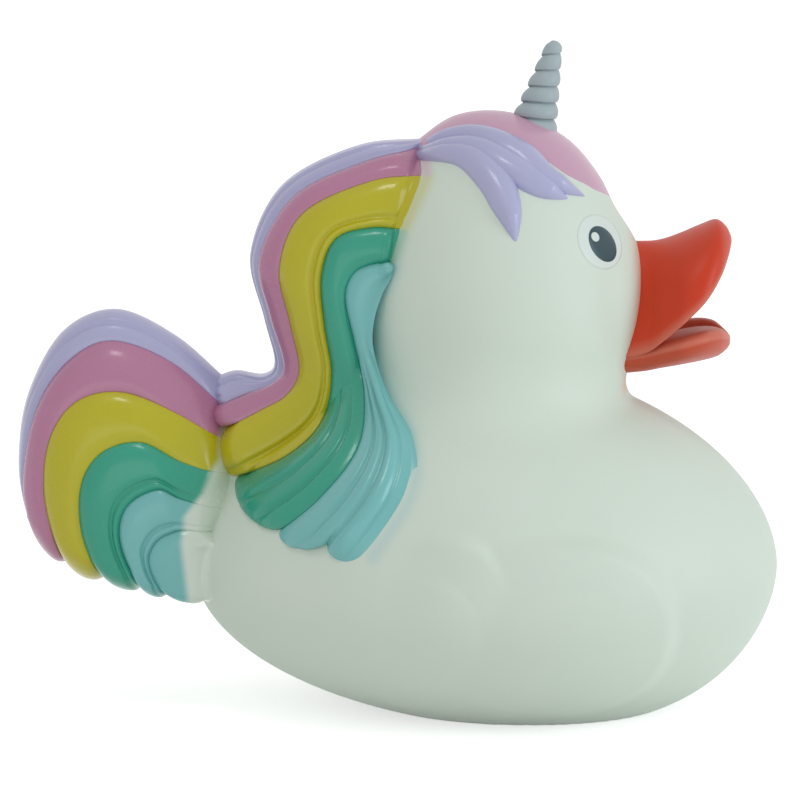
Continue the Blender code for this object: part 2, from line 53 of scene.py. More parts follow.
# %% Eggs
BODY_HALF_LENGTH = 42.5
BODY_HALF_WIDTH = 35.0
WIDEST_HEIGHT = 20.5
BODY_UP = 28.9
BODY_DOWN = 23.5
BELLY_FORWARD = 8.0
BACK_SQUARENESS = 1.83
BELLY_SQUARENESS = 2.08
BREAST_SQUARENESS = 1.88
HEAD_MIDDLE = np.array([1.5, 58.0])
HEAD_HALF = np.array([20.0, 19.5, 26.6])
HEAD_SQUARENESS = 2.05
CHEEK_PLACE = (0.82, 0.06)
CHEEK_HALF = HEAD_HALF * [0.25, 0.49, 0.36]
CHEEK_FILLET = 4.0
RUMP_PLACE = (-0.84, 0.55)
RUMP_HALF = (6.4, 7.0, 9.5)
RUMP_FILLET = 3.0
THROAT_FILLET = 3.6
NAPE_FILLET = 9.0
HAIR_FILLET = 16.0


def on_head(*shares):
    """Side-view points: the head's middle plus each share of its half length and half height."""
    return HEAD_MIDDLE + np.array(shares) * HEAD_HALF[[0, 2]]


def on_body(*shares):
    """Side-view points: the body's widest line plus each share of its half length and its rise."""
    return np.array([0.0, WIDEST_HEIGHT]) + np.array(shares) * [BODY_HALF_LENGTH, BODY_UP]


print("head from", on_head((-1, -1))[0], "to", on_head((1, 1))[0])

# %% [markdown]
# ## Where the skin lies
# Two eggs that are only pushed together would leave a hard crease all round. A depth that is
# negative inside each egg lets them be joined with a fillet, crisp under the chin and soft at
# the nape. The surface is where that depth is nought, and it is found by halving along rays.

# %% Skin depth
FAR_OUT = 90.0
HALVINGS = 34


def egg_depth(x, y, z, half, power=2.0):
    """Distance to the egg's middle times 1 - 1 / F, where F is 1 on the egg and grows outwards."""
    profile = (np.abs(x / half[0]) ** power + np.abs(z / half[2]) ** power) ** (2 / power)
    size = np.sqrt(np.maximum(profile + (y / half[1]) ** 2, 1e-9))
    return np.sqrt(x**2 + y**2 + z**2) * (1 - 1 / size)


def smooth_least(a, b, radius):
    """The smaller of two values, less a parabola where they differ by under the radius."""
    near = np.clip(0.5 + 0.5 * (b - a) / radius, 0, 1)
    return b + (a - b) * near - radius * near * (1 - near)


def skin_depth(x, y, z, fillet=None):
    """Body, head, the swelling behind the bill and the rump, joined by smooth_least."""
    rise = z - WIDEST_HEIGHT
    half_height = np.where(rise > 0, BODY_UP, BODY_DOWN)
    x_body = x - BELLY_FORWARD * np.clip(-rise / BODY_DOWN, 0, 1) ** 2
    forward = np.clip(x_body / BODY_HALF_LENGTH, 0, 1)
    below = BELLY_SQUARENESS + (BREAST_SQUARENESS - BELLY_SQUARENESS) * forward
    power = np.where(rise > 0, BACK_SQUARENESS, below)
    body = egg_depth(x_body, y, rise, (BODY_HALF_LENGTH, BODY_HALF_WIDTH, half_height), power)
    head = egg_depth(x - HEAD_MIDDLE[0], y, z - HEAD_MIDDLE[1], HEAD_HALF, HEAD_SQUARENESS)
    cheek_x, cheek_z = on_head(CHEEK_PLACE)[0]
    cheek = egg_depth(x - cheek_x, y, z - cheek_z, CHEEK_HALF)
    rump_x, rump_z = on_body(RUMP_PLACE)[0]
    rump = egg_depth(x - rump_x, y, z - rump_z, RUMP_HALF)
    if fillet is None:
        ahead = np.clip((x - HEAD_MIDDLE[0]) / HEAD_HALF[0], 0, 1) ** 2
        fillet = NAPE_FILLET + (THROAT_FILLET - NAPE_FILLET) * ahead
    head = smooth_least(head, cheek, CHEEK_FILLET)
    return smooth_least(smooth_least(body, head, fillet), rump, RUMP_FILLET)


def halved(depth_at, shape):
    """The distance at which each ray leaves the skin, by halving the span that holds it."""
    near = np.zeros(shape)
    far = np.full(shape, FAR_OUT)
    for _ in range(HALVINGS):
        middle = (near + far) / 2
        inside = depth_at(middle) < 0
        near = np.where(inside, middle, near)
        far = np.where(inside, far, middle)
    return near


def skin_half_width(x, z, fillet=None):
    """How far the skin reaches to the side at a point of the side view; 0 outside its outline."""
    return halved(lambda y: skin_depth(x, y, z, fillet), np.shape(x))


def skin_normal(points, step=0.05):
    """Outward direction at points (..., 3): the slope of the depth, brought to length 1."""
    slope = []
    for axis in range(3):
        shift = np.zeros(3)
        shift[axis] = step
        ahead = np.moveaxis(points + shift, -1, 0)
        behind = np.moveaxis(points - shift, -1, 0)
        slope.append(skin_depth(*ahead) - skin_depth(*behind))
    normal = np.stack(slope, axis=-1)
    return normal / np.linalg.norm(normal, axis=-1, keepdims=True)


cheek_width = skin_half_width(np.array([8.0]), np.array([60.0]))[0]
print("half width at the cheek:", round(float(cheek_width), 2))

# %% [markdown]
# ## From grids to meshes
# Every piece here is a stack of closed rings with a point at each end, like a lathe's work that
# needn't be round. One function turns such a stack into a mesh, so no piece is ever left open.

# %% Ring stacks
PIECES = {}
WELD_DISTANCE = 0.001


def untinted(points):
    """No second colour at all: nought everywhere."""
    return np.zeros((len(points), 4))


def piece_from_rings(name, rings, ends=None, slot=None, tint=untinted):
    """Rings (rows, columns, 3) in millimetres, joined by four-sided faces and closed by fans."""
    rings = np.asarray(rings, float)
    rows, columns, _ = rings.shape
    if ends is None:
        ends = [rings[0].mean(axis=0), rings[-1].mean(axis=0)]
    points = np.vstack([rings.reshape(-1, 3), ends])
    i, j = np.meshgrid(np.arange(rows - 1), np.arange(columns), indexing="ij")
    k = (j + 1) % columns
    quads = np.stack([i * columns + j, i * columns + k, (i + 1) * columns + k,
                      (i + 1) * columns + j], axis=-1).reshape(-1, 4)
    j = np.arange(columns)
    k = (j + 1) % columns
    last = (rows - 1) * columns
    start = np.stack([k, j, 0 * j + rows * columns], axis=-1)
    finish = np.stack([last + j, last + k, 0 * j + rows * columns + 1], axis=-1)
    corners = np.concatenate([quads.ravel(), start.ravel(), finish.ravel()])
    sizes = np.concatenate([np.full(len(quads), 4), np.full(2 * columns, 3)])
    mesh = bpy.data.meshes.new(name)
    mesh.vertices.add(len(points))
    mesh.vertices.foreach_set("co", (points * MM).ravel())
    mesh.loops.add(len(corners))
    mesh.loops.foreach_set("vertex_index", corners)
    mesh.polygons.add(len(sizes))
    mesh.polygons.foreach_set("loop_start", np.concatenate([[0], np.cumsum(sizes)[:-1]]))
    mesh.update(calc_edges=True)
    layer = mesh.attributes.new("tint", "FLOAT_COLOR", "POINT")
    layer.data.foreach_set("color", tint(points).astype(np.float32).ravel())
    work = bmesh.new()
    work.from_mesh(mesh)
    bmesh.ops.remove_doubles(work, verts=work.verts, dist=WELD_DISTANCE * MM)
    bmesh.ops.recalc_face_normals(work, faces=work.faces)
    work.to_mesh(mesh)
    work.free()
    mesh.shade_smooth()
    piece = bpy.data.objects.new(name, mesh)
    bpy.context.scene.collection.objects.link(piece)
    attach(piece, "root")
    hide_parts("duck")
    PIECES[name] = (piece, slot)
    print(name, "faces:", len(mesh.polygons))
    return piece


def through(points, share):
    """Catmull-Rom curve: cubic spans that pass through every point, read at shares from 0 to 1."""
    points = np.asarray(points, float)
    padded = np.vstack([2 * points[0] - points[1], points, 2 * points[-1] - points[-2]])
    place = share * (len(points) - 1)
    span = np.clip(place.astype(int), 0, len(points) - 2)
    t = (place - span)[..., None]
    p0, p1, p2, p3 = (padded[span + k] for k in range(4))
    return 0.5 * (2 * p1 + (p2 - p0) * t + (2 * p0 - 5 * p1 + 4 * p2 - p3) * t**2
                  + (3 * p1 - p0 - 3 * p2 + p3) * t**3)


print("a curve's middle:", through([(0, 0), (1, 2), (2, 0)], np.array([0.5]))[0])

# %% [markdown]
# ## The hair's courses
# Mane and tail are bands that run side by side. In the side view each border between two bands
# is a curve through a few points, and a band is everything between two neighbouring borders.
# All borders of one sheet have as many points, so the rungs between two of them never cross.

# %% Mane and tail borders
MANE = [
    [*on_head((-0.48, 0.91), (-1.00, 0.87), (-1.54, 0.66), (-1.775, 0.29), (-1.68, -0.06)),
     *on_body((-0.72, 1.02), (-0.76, 0.95), (-0.85, 0.97), (-0.92, 0.94))],
    [*on_head((-0.54, 0.87), (-0.95, 0.79), (-1.44, 0.61), (-1.70, 0.28), (-1.63, -0.02)),
     *on_body((-0.68, 1.03), (-0.72, 0.93), (-0.82, 0.87), (-0.92, 0.81))],
    [*on_head((-0.50, 0.73), (-0.90, 0.70), (-1.38, 0.53), (-1.55, 0.24), (-1.48, -0.05)),
     *on_body((-0.63, 1.02), (-0.67, 0.89), (-0.76, 0.81), (-0.89, 0.71))],
    [*on_head((-0.67, 0.45), (-0.90, 0.46), (-1.15, 0.40), (-1.25, 0.20), (-1.23, -0.06)),
     *on_body((-0.52, 1.00), (-0.55, 0.78), (-0.66, 0.62), (-0.86, 0.46))],
    [*on_head((-0.75, 0.27), (-0.88, 0.27), (-1.02, 0.22), (-1.08, 0.09), (-1.02, -0.14)),
     *on_body((-0.41, 0.92), (-0.43, 0.69), (-0.55, 0.47), (-0.70, 0.28))],
    [*on_head((-0.72, 0.27), (-0.77, 0.18), (-0.82, 0.11), (-0.88, -0.04), (-0.88, -0.20)),
     *on_body((-0.33, 0.92), (-0.25, 0.74), (-0.25, 0.52), (-0.38, 0.22))],
]
TAIL = [
    on_body((-0.88, 0.92), (-1.06, 1.15), (-1.26, 1.28), (-1.44, 1.17), (-1.56, 0.86),
            (-1.595, 0.54), (-1.575, 0.28)),
    on_body((-0.86, 0.76), (-1.05, 1.02), (-1.26, 1.14), (-1.41, 1.04), (-1.52, 0.80),
            (-1.57, 0.43), (-1.54, 0.14)),
    on_body((-0.84, 0.61), (-1.05, 0.80), (-1.23, 0.90), (-1.38, 0.85), (-1.47, 0.66),
            (-1.49, 0.37), (-1.43, 0.00)),
    on_body((-0.83, 0.47), (-1.02, 0.56), (-1.16, 0.66), (-1.29, 0.61), (-1.36, 0.45),
            (-1.36, 0.20), (-1.29, -0.07)),
    on_body((-0.84, 0.30), (-1.02, 0.38), (-1.10, 0.43), (-1.19, 0.37), (-1.23, 0.26),
            (-1.22, 0.11), (-1.15, -0.11)),
    on_body((-0.88, 0.20), (-1.01, 0.23), (-1.07, 0.21), (-1.11, 0.17), (-1.135, 0.09),
            (-1.12, -0.01), (-1.07, -0.13)),
    on_body((-0.86, 0.11), (-0.90, 0.12), (-0.92, 0.11), (-0.91, 0.05), (-0.90, -0.02),
            (-0.90, -0.08), (-0.92, -0.15)),
]
MANE_REACH = HEAD_HALF[1] * np.array([0, 0.26, 0.44, 0.56, 0.61, 0.64])
TAIL_REACH = BODY_HALF_WIDTH * np.array([0, 0.14, 0.24, 0.30, 0.33, 0.34, 0.34])
print("mane length:", round(float(np.linalg.norm(np.diff(MANE[0], axis=0), axis=1).sum()), 1))

# %% [markdown]
# ## The wings
# The real wings are part of the skin, a few feathers in low relief. They could be pieces laid on
# it, but then a seam would show all round them, so their height is added sideways to the skin.

# %% Wings in relief
WING_LIFT = 2.2
FLANK_START = 12.0
FEATHER_SQUARENESS = 2.3
RIM_OUTSIDE = 1.04
RIM_WIDTH = 0.15
FADE_LENGTH = 1.5
FEATHERS = (((0.20, -0.15), (0.41, 0.47), 1.0, 0.3), ((-0.13, -0.05), (0.20, 0.38), 0.56, 1.1),
            ((-0.20, -0.19), (0.17, 0.34), 0.42, 1.1))


def wing_height(x, z):
    """The highest feather at each point: a rounded rim, and a lift that fades back and down."""
    height = np.zeros(np.shape(x))
    for centre, half, lift, droop in FEATHERS:
        middle = on_body(centre)[0]
        across = (x - middle[0]) / (half[0] * BODY_HALF_LENGTH)
        up = (z - middle[1]) / (half[1] * BODY_UP)
        out = (np.abs(across) ** FEATHER_SQUARENESS
               + np.abs(up) ** FEATHER_SQUARENESS) ** (1 / FEATHER_SQUARENESS)
        back = np.clip((across + 1) / FADE_LENGTH, 0, 1)
        fade = back * back * (3 - 2 * back) * np.clip(1 - droop * (1 - up) / 2, 0, 1)
        rim = np.clip((RIM_OUTSIDE - out) / RIM_WIDTH, 0, 1)
        rim = rim * rim * (3 - 2 * rim)
        height = np.maximum(height, WING_LIFT * lift * fade * rim)
    return height


wing_middle = on_body(FEATHERS[0][0])[0]
print("wing stands out by", round(float(wing_height(*wing_middle)), 2))

# %% [markdown]
# ## Paint that drifted
# Each colour was sprayed through a mask, and a little of it drifted past the mask's edge. It could
# be painted by hand on an image, but here it is stored on the mesh as a colour and a strength,
# worked out from the distance to each mask's line in the side view.

# %% Overspray
MASK_EDGE = 0.9
LINE_STEPS = 200
SPRAY_STRENGTH = 0.5
SPRAY_TINTS = {"yellow": (0.62, 0.60, 0.16), "green": (0.20, 0.52, 0.40),
               "turquoise": (0.44, 0.66, 0.66), "pink": (0.66, 0.40, 0.50),
               "orange": (0.72, 0.40, 0.26)}


def near_line(points, line, width):
    """Fades from 1 on a line of the side view to 0 at a width from it: exp(-(d / width)^2)."""
    steps = through(line, np.linspace(0, 1, LINE_STEPS))
    x, z = points[:, 0:1], points[:, 2:3]
    away = np.sqrt((x - steps[:, 0]) ** 2 + (z - steps[:, 1]) ** 2).min(axis=1)
    return np.exp(-((away / width) ** 2))


def overspray(points):
    """Colour and strength of the paint that drifted past each mask on to the white skin."""
    starts = np.array([edge[0] for edge in MANE])
    lines = {"pink": starts[1:3], "yellow": starts[2:4], "green": starts[3:5],
             "turquoise": MANE[5],
             "orange": on_head((1.0, 0.40), (1.02, 0.1), (0.99, -0.2), (0.93, -0.42))}
    colour = np.zeros((len(points), 4))
    for name, line in lines.items():
        strength = near_line(points, line, MASK_EDGE)[:, None]
        tint = np.array([*SPRAY_TINTS[name], 1.0])
        colour = np.where(strength > colour[:, 3:], strength * tint, colour)
    strength = np.maximum(colour[:, 3:], 1e-6)
    return np.hstack([colour[:, :3] / strength, SPRAY_STRENGTH * colour[:, 3:]])


print("masks that leaked:", ", ".join(SPRAY_TINTS))

# %% [markdown]
# ## The skin
# The white skin is one thin shell on the real duck. It could be joined from two meshes, but a
# join leaves uneven faces, so it is blown out from a point inside the neck: each ray stops where
# the depth is nought, and the wings' height is added there.

# %% Skin
HEART_DROP = 0.6


def skin_rings(around, down):
    """Rays from the neck at even turns and tilts, each as long as the skin is deep there."""
    heart = np.array([HEAD_MIDDLE[0], 0.0, HEAD_MIDDLE[1] - HEART_DROP * HEAD_HALF[2]])
    polar = np.linspace(0, np.pi, down + 2)[1:-1, None]
    turn = np.linspace(0, 2 * np.pi, around, endpoint=False)[None, :]
    way = np.stack([np.sin(polar) * np.cos(turn), np.sin(polar) * np.sin(turn),
                    np.cos(polar) + 0 * turn])

    def reach(way):
        out = halved(lambda r: skin_depth(*(heart[:, None, None] + way * r)), way.shape[1:])
        x, y, z = heart[:, None, None] + way * out
        flank = np.clip(np.abs(y) / FLANK_START, 0, 1)
        return np.stack([x, y + np.sign(y) * wing_height(x, z) * flank, np.maximum(z, 0)])

    top = reach(np.array([0.0, 0.0, 1.0]).reshape(3, 1, 1))[:, 0, 0]
    bottom = reach(np.array([0.0, 0.0, -1.0]).reshape(3, 1, 1))[:, 0, 0]
    return reach(way).transpose(1, 2, 0), [top, bottom]


rings, ends = skin_rings(around=320, down=240)
piece_from_rings("skin", rings, ends, slot="vinyl_white", tint=overspray)

# %% [markdown]
# ## Bands of hair
# A band is a slice of one thick form: a near face, its mirror image on the far side, and walls
# between them that the neighbouring bands hide. Its face bulges into a ridge between two steep
# valleys, and the whole lies a little proud of the skin wherever there is skin under it.

# %% Band relief
HAIR_LIFT = 1.3
RIDGE_LIFT = 0.9
END_SCALLOP = 0.035
SCALLOP_POWER = 0.6
HAIR_BLEND = 1.5
TUCK = 0.2
RIDGE_POWER = 2.8
CORD_CUTS = ((-0.55, 0.42, 0.07), (-0.25, 0.80, 0.06))
CREST_CUTS = ((-0.40, 0.55, 0.06),)
LIP_CUTS = ((-0.45, 0.80, 0.05), (0.25, 0.93, 0.05))
PARTING_DEPTH = 0.6
PARTING_WIDTH = 0.035
PARTING_RUN = 0.15
CREST_FADE = (0.4, 0.8)


def ramp(value, low, high):
    """0 below low, 1 above high, and 3 s^2 - 2 s^3 between them."""
    share = np.clip((value - low) / (high - low), 0, 1)
    return share * share * (3 - 2 * share)


def grooves(t, cuts):
    """Sum of height * exp(-((t - place) / width)^2) over rows of height, place and width."""
    return sum(height * np.exp(-(((t - place) / width) ** 2)) for height, place, width in cuts)


def bulge(t):
    """One ridge across the band, highest in the middle and steep at both valleys."""
    return RIDGE_LIFT * (1 - np.abs(2 * t - 1) ** RIDGE_POWER)


def plain_relief(u, t):
    """One ridge that stays the same along the band."""
    return bulge(t) + 0 * u


def cord_relief(u, t):
    """The mane's crest: two cords with a groove between them, and a small lip below."""
    return grooves(t, CORD_CUTS) + 0 * u


def crest_relief(u, t):
    """The tail's crest: one fine groove that is deepest over the root."""
    return grooves(t, CREST_CUTS) * (1 - ramp(u, *CREST_FADE))


def lipped_relief(u, t):
    """A ridge with a narrow rolled lip along its lower border."""
    return bulge(t) + grooves(t, LIP_CUTS) + 0 * u


def parted_relief(places, start):
    """A ridge that parts into narrower locks, at these places, beyond a share of its length."""
    cuts = [(-PARTING_DEPTH, place, PARTING_WIDTH) for place in places]

    def relief(u, t):
        return bulge(t) + grooves(t, cuts) * ramp(u, start, start + PARTING_RUN)

    return relief


print("ridge lifts at quarter steps:", bulge(np.linspace(0, 1, 5)).round(2))

# %% [markdown]
# ## One band
# On the real duck a band's end is cut into small lobes. A band could be swept along its middle
# line, but a sweep's sides would not meet its neighbours' sides, so each band is stretched
# between the two borders that it shares with them.

# %% Band faces
ROOT_LEAST = 0.3
TIP_LEAST = 0.05
FIRST_LOBE_SHIFT = 0.1
LOBE_SHIFT = 0.45
FILLET_RUN = 0.3
LAST_EDGE = 0.55


def band_rings(edges, reaches, number, relief, ends, lobes=1, blend=0.07, sink=0.0, along=200,
               across=40):
    """Near and far face between borders number and number + 1, one ring for each station.

    The side view is upper + (lower - upper) * t. The half width is the larger of the free
    hair's and of the skin's plus HAIR_LIFT, and the relief is added square to the face. Over
    the first share named blend the band comes up out of the skin, from a depth of sink.
    """
    first, last = number == 0, number == len(edges) - 2
    u = (0.5 - 0.5 * np.cos(np.linspace(0, np.pi, along)))[:, None]
    t = np.linspace(0, 1, across)[None, :]
    turn = (0.5 + 0.5 * t if first else lobes * t) * np.pi
    shift = FIRST_LOBE_SHIFT if first else LOBE_SHIFT
    scallop = END_SCALLOP * (np.abs(np.sin(turn)) ** SCALLOP_POWER - shift)
    place = u * (1 + scallop * u**4)
    upper, lower = through(edges[number], place), through(edges[number + 1], place)
    down = 1 - np.cos(t * np.pi / 2) if first else t
    out = np.sin(t * np.pi / 2) if first else t
    x, z = np.moveaxis(upper + (lower - upper) * (down + 0 * u)[..., None], -1, 0)
    free = reaches[number] + (reaches[number + 1] - reaches[number]) * out
    start = np.sqrt(np.clip(1 - np.clip(1 - u / ends[0], 0, 1) ** 2, ROOT_LEAST, 1))
    finish = np.sqrt(np.clip(1 - np.clip((u - 1) / ends[1] + 1, 0, 1) ** 2, TIP_LEAST, 1))
    emerge = ramp(u, 0, blend)
    soft = emerge * finish
    under = skin_half_width(x, z, NAPE_FILLET + (HAIR_FILLET - NAPE_FILLET) * ramp(u, 0, FILLET_RUN))
    edge = 1 - ramp(t, LAST_EDGE, 1) if last else 1
    lift = HAIR_LIFT * soft * edge - TUCK * (1 - soft * edge) - sink * (1 - emerge)
    reach = smooth_least(-free * start * finish, -(under + lift * (under > 0)), HAIR_BLEND)
    y = -reach * (free > 0)
    face = np.stack([x, -y, z], axis=-1)
    slope = np.cross(np.gradient(face, axis=0), np.gradient(face, axis=1))
    slope /= np.maximum(np.linalg.norm(slope, axis=-1, keepdims=True), 1e-9)
    slope *= np.where(slope[..., 1:2] > 0, -1, 1)
    face = face + slope * (relief(u, t) * soft * edge)[..., None]
    return np.concatenate([face, face[:, ::-1] * [1, -1, 1]], axis=1)


sample = band_rings(TAIL, TAIL_REACH, 0, plain_relief, (0.1, 0.1), along=20, across=8)
print("a small band has", sample.shape[0], "rings of", sample.shape[1], "points")

# %% [markdown]
# ## Where the paint ends
# The real bands don't end in relief where they meet the head and the rump. They come up softly
# out of the skin, and only the paint has an edge, so ahead of it the bands keep the skin's tone.

# %% Paint masks
TAIL_MASK = np.array([(17.7, -42.8), (25.0, -43.6), (29.2, -43.2), (32.4, -40.6), (35.3, -39.4),
                      (37.0, -38.4), (41.0, -38.2), (43.0, -36.0)])
MANE_MASK = np.array([(58.0, 0.0), (62.0, -13.2), (66.0, -12.6), (70.0, -11.6), (76.0, -8.9),
                      (77.0, -8.8), (80.5, -8.2), (82.0, 4.0)])
MASK_FADE = (-0.6, 0.8)
SKIN_TONE = (0.70, 0.79, 0.69)


def bare_ahead(points, mask):
    """The skin's colour ahead of the line, by height, where the painter's mask ended."""
    edge = np.interp(points[:, 2], mask[:, 0], mask[:, 1])
    bare = ramp(points[:, 0] - edge, *MASK_FADE)
    return np.column_stack([np.tile(SKIN_TONE, (len(points), 1)), bare])


print("tail paint ends at x from", TAIL_MASK[:, 1].min(), "to", TAIL_MASK[:, 1].max())

# %% [markdown]
# ## Mane and tail
# The mane has five bands and the tail six, from lilac at the top to turquoise. They could be one
# mesh with painted fields, but a mesh for each paint keeps every colour edge sharp.

# %% Mane and tail
COLOURS = ("lilac", "pink", "yellow", "green", "turquoise", "turquoise")
FAN = 4
MANE_ENDS = (0.06, 0.05)
TAIL_ENDS = (0.12, 0.10)
MANE_RELIEFS = (cord_relief, plain_relief, lipped_relief, parted_relief((0.36, 0.68), 0.6),
                parted_relief((0.30, 0.52, 0.74), 0.5))
for number, relief in enumerate(MANE_RELIEFS):
    lobes = 2 if number == FAN else 1
    rings = band_rings(MANE, MANE_REACH, number, relief, MANE_ENDS, lobes)
    piece_from_rings(f"mane_{number}_{COLOURS[number]}", rings, slot=f"hair_{COLOURS[number]}",
                     tint=lambda points: bare_ahead(points, MANE_MASK))
TAIL_RELIEFS = (crest_relief, plain_relief, plain_relief, lipped_relief, lipped_relief, plain_relief)
for number, relief in enumerate(TAIL_RELIEFS):
    rings = band_rings(TAIL, TAIL_REACH, number, relief, TAIL_ENDS, blend=0.30, sink=0.9,
                       along=140)
    piece_from_rings(f"tail_{number}_{COLOURS[number]}", rings, slot=f"hair_{COLOURS[number]}",
                     tint=lambda points: bare_ahead(points, TAIL_MASK))

# %% [markdown]
# ## Forelock and crown
# Three pointed locks lie on each side of the forehead, and one broad pink lock runs over the
# crown between them. Each is an oval carried along a path on the skin, slimming to its tip.

# %% Locks
LOCK_LIFT = 1.5
LOCK_ROOT = 0.4
LOCK_WIDTHS = (0.7, 2.1, 2.5, 2.1, 0.25)
LEAST_WIDTH = 0.05
FULL_LIFT_WIDTH = 1.6
LOCKS = (
    on_head((-0.62, 0.84), (-0.22, 0.935), (0.11, 0.865), (0.33, 0.73), (0.62, 0.62)),
    on_head((-0.62, 0.83), (-0.22, 0.88), (0.07, 0.79), (0.28, 0.69), (0.49, 0.615)),
    on_head((-0.62, 0.82), (-0.25, 0.84), (-0.05, 0.73), (0.05, 0.58), (0.11, 0.40)),
)


def lock_rings(path, widths, side, rows=90, columns=36):
    """Ovals square to the path, as wide as widths says, and lower where it is slim."""
    share = np.linspace(0, 1, rows)
    line = through(path, share)
    width = np.maximum(through(np.array(widths)[:, None], share)[:, 0], LEAST_WIDTH)
    y = side * skin_half_width(line[:, 0], line[:, 1])
    middle = np.stack([line[:, 0], y, line[:, 1]], axis=1)
    out = skin_normal(middle)
    middle = middle - out * LOCK_ROOT
    along = np.gradient(middle, axis=0)
    along /= np.linalg.norm(along, axis=1, keepdims=True)
    across = np.cross(along, out)
    across /= np.linalg.norm(across, axis=1, keepdims=True)
    turn = np.linspace(0, 2 * np.pi, columns, endpoint=False)
    lift = (LOCK_LIFT + LOCK_ROOT) * np.minimum(1, width / FULL_LIFT_WIDTH)
    return (middle[:, None] + across[:, None] * (width[:, None] * np.cos(turn))[..., None]
            + out[:, None] * (lift[:, None] * np.sin(turn))[..., None])


for side, word in ((-1, "near"), (1, "far")):
    for k, path in enumerate(LOCKS):
        rings = lock_rings(path, LOCK_WIDTHS, side)
        piece_from_rings(f"lock_{k}_{word}", rings, slot="hair_lilac")

# %% Crown
CROWN_LIFT = 1.5
CROWN_PATH = on_head((-0.58, 0.83), (-0.27, 0.98), (0.10, 0.99), (0.45, 0.875), (0.69, 0.70),
                     (0.83, 0.53))
CROWN_WIDTHS = np.array([2.8, 6.4, 8.4, 10.4, 9.2, 3.0])
CROWN_SHARES = np.array([0.9, 1.0, 1.0, 0.9, 0.6, 0.3])


def crown_rings(rows=90, columns=60):
    """Ovals along the crown's path; at a side step y the head's egg is sqrt(1 - y^2) as far out."""
    share = np.linspace(0, 1, rows)
    line = through(CROWN_PATH, share)
    width = through(CROWN_WIDTHS[:, None], share)[:, 0]
    height = CROWN_LIFT * through(CROWN_SHARES[:, None], share)[:, 0]
    along = np.gradient(line, axis=0)
    along /= np.linalg.norm(along, axis=1, keepdims=True)
    up = np.stack([-along[:, 1], along[:, 0]], axis=1)
    turn = np.linspace(0, 2 * np.pi, columns, endpoint=False)
    y = width[:, None] * np.cos(turn)
    inward = np.sqrt(1 - (y / HEAD_HALF[1]) ** 2)
    rise = height[:, None] * np.sin(turn)
    x = HEAD_MIDDLE[0] + (line[:, :1] - HEAD_MIDDLE[0]) * inward + up[:, :1] * rise
    z = HEAD_MIDDLE[1] + (line[:, 1:] - HEAD_MIDDLE[1]) * inward + up[:, 1:] * rise
    return np.stack([x, y, z], axis=-1)


piece_from_rings("crown", crown_rings(), slot="hair_pink")

# %% [markdown]
# ## The horn
# One rounded ridge winds round a leaning cone. A helix could be swept and joined on, but here
# the cone's own radius rises and falls with height less turn, so ridge and groove stay one skin.

# %% Horn
HORN_LENGTH = 12.4
HORN_ROOT = 3.0
HORN_RADII = (4.0, 1.1)
HORN_PITCH = 2.35
HORN_LEAN = 0.245
HORN_GROOVE = 0.16
HORN_PLACE = (0.265, 0.98)
RIDGE_PHASE = 0.7
TIP_START = 0.93


def horn_rings(rows=260, columns=72):
    """Radius = taper times 1 - groove, where the groove's phase is height / pitch - turn."""
    share = np.linspace(0, 1, rows)[:, None]
    turn = np.linspace(0, 2 * np.pi, columns, endpoint=False)[None, :]
    radius = HORN_RADII[0] + (HORN_RADII[1] - HORN_RADII[0]) * share
    height = share * (HORN_LENGTH + HORN_ROOT)
    phase = (height / HORN_PITCH - turn / (2 * np.pi)) % 1.0
    groove = HORN_GROOVE * np.abs(2 * phase - RIDGE_PHASE) ** 2
    past = np.clip((share - TIP_START) / (1 - TIP_START), 0, 1)
    tip = np.sqrt(np.clip(1 - past**2, 0.001, 1))
    radius = radius * (1 - groove) * tip
    side, rise = radius * np.cos(turn), height - HORN_ROOT + 0 * turn
    foot_x, foot_z = on_head(HORN_PLACE)[0]
    x = foot_x + side * np.cos(HORN_LEAN) + rise * np.sin(HORN_LEAN)
    z = foot_z - side * np.sin(HORN_LEAN) + rise * np.cos(HORN_LEAN)
    return np.stack([x, radius * np.sin(turn), z], axis=-1)


piece_from_rings("horn", horn_rings(), slot="horn_grey")

# %% [markdown]
# ## The bill
# Each half is a curved shell. A row of sections says, at each reach ahead of the face, how high
# its middle and its lip lie and how wide it is, and between them every section is half an oval.
# The throat behind them is an egg of its own, so that it can take a darker copy of the shells'
# orange as painted shade inside the mouth.

# %% Bill
BILL_SIZE = np.array([13.7, 18.3, 18.3, 12.0])
UPPER_SHELL = (2.2, 0.50)
LOWER_SHELL = (5.0, 0.88)
LIP_ROUND = 0.55
# The paler orange of a painted highlight on the lips and of painted light on the linings.
LIP_LIGHT_TONE = (0.64, 0.16, 0.10)
LIP_LIGHT_FADE = (0.45, 0.5)
TIP_FILLED = 0.99
TIP_POWER = 8
MOUTH_DROP = 5.8
MOUTH_CORNER = on_head((1.0, 0.0))[0] - [0.0, MOUTH_DROP]
UPPER = [(-0.36, 0.84, -0.10, 0.52), (0.06, 0.83, -0.02, 0.72), (0.26, 0.84, 0.10, 0.89),
         (0.47, 0.89, 0.25, 1.00), (0.69, 0.96, 0.41, 0.93), (0.85, 1.00, 0.58, 0.72),
         (0.95, 0.95, 0.72, 0.42), (1.00, 0.88, 0.81, 0.16)]
LOWER = [(-0.36, -0.23, -0.05, 0.50), (0.06, -0.20, 0.02, 0.67), (0.26, -0.17, 0.08, 0.82),
         (0.47, -0.14, 0.13, 0.92), (0.69, -0.11, 0.17, 0.84), (0.86, -0.08, 0.17, 0.62),
         (0.96, -0.03, 0.12, 0.36), (1.00, 0.00, 0.09, 0.16)]


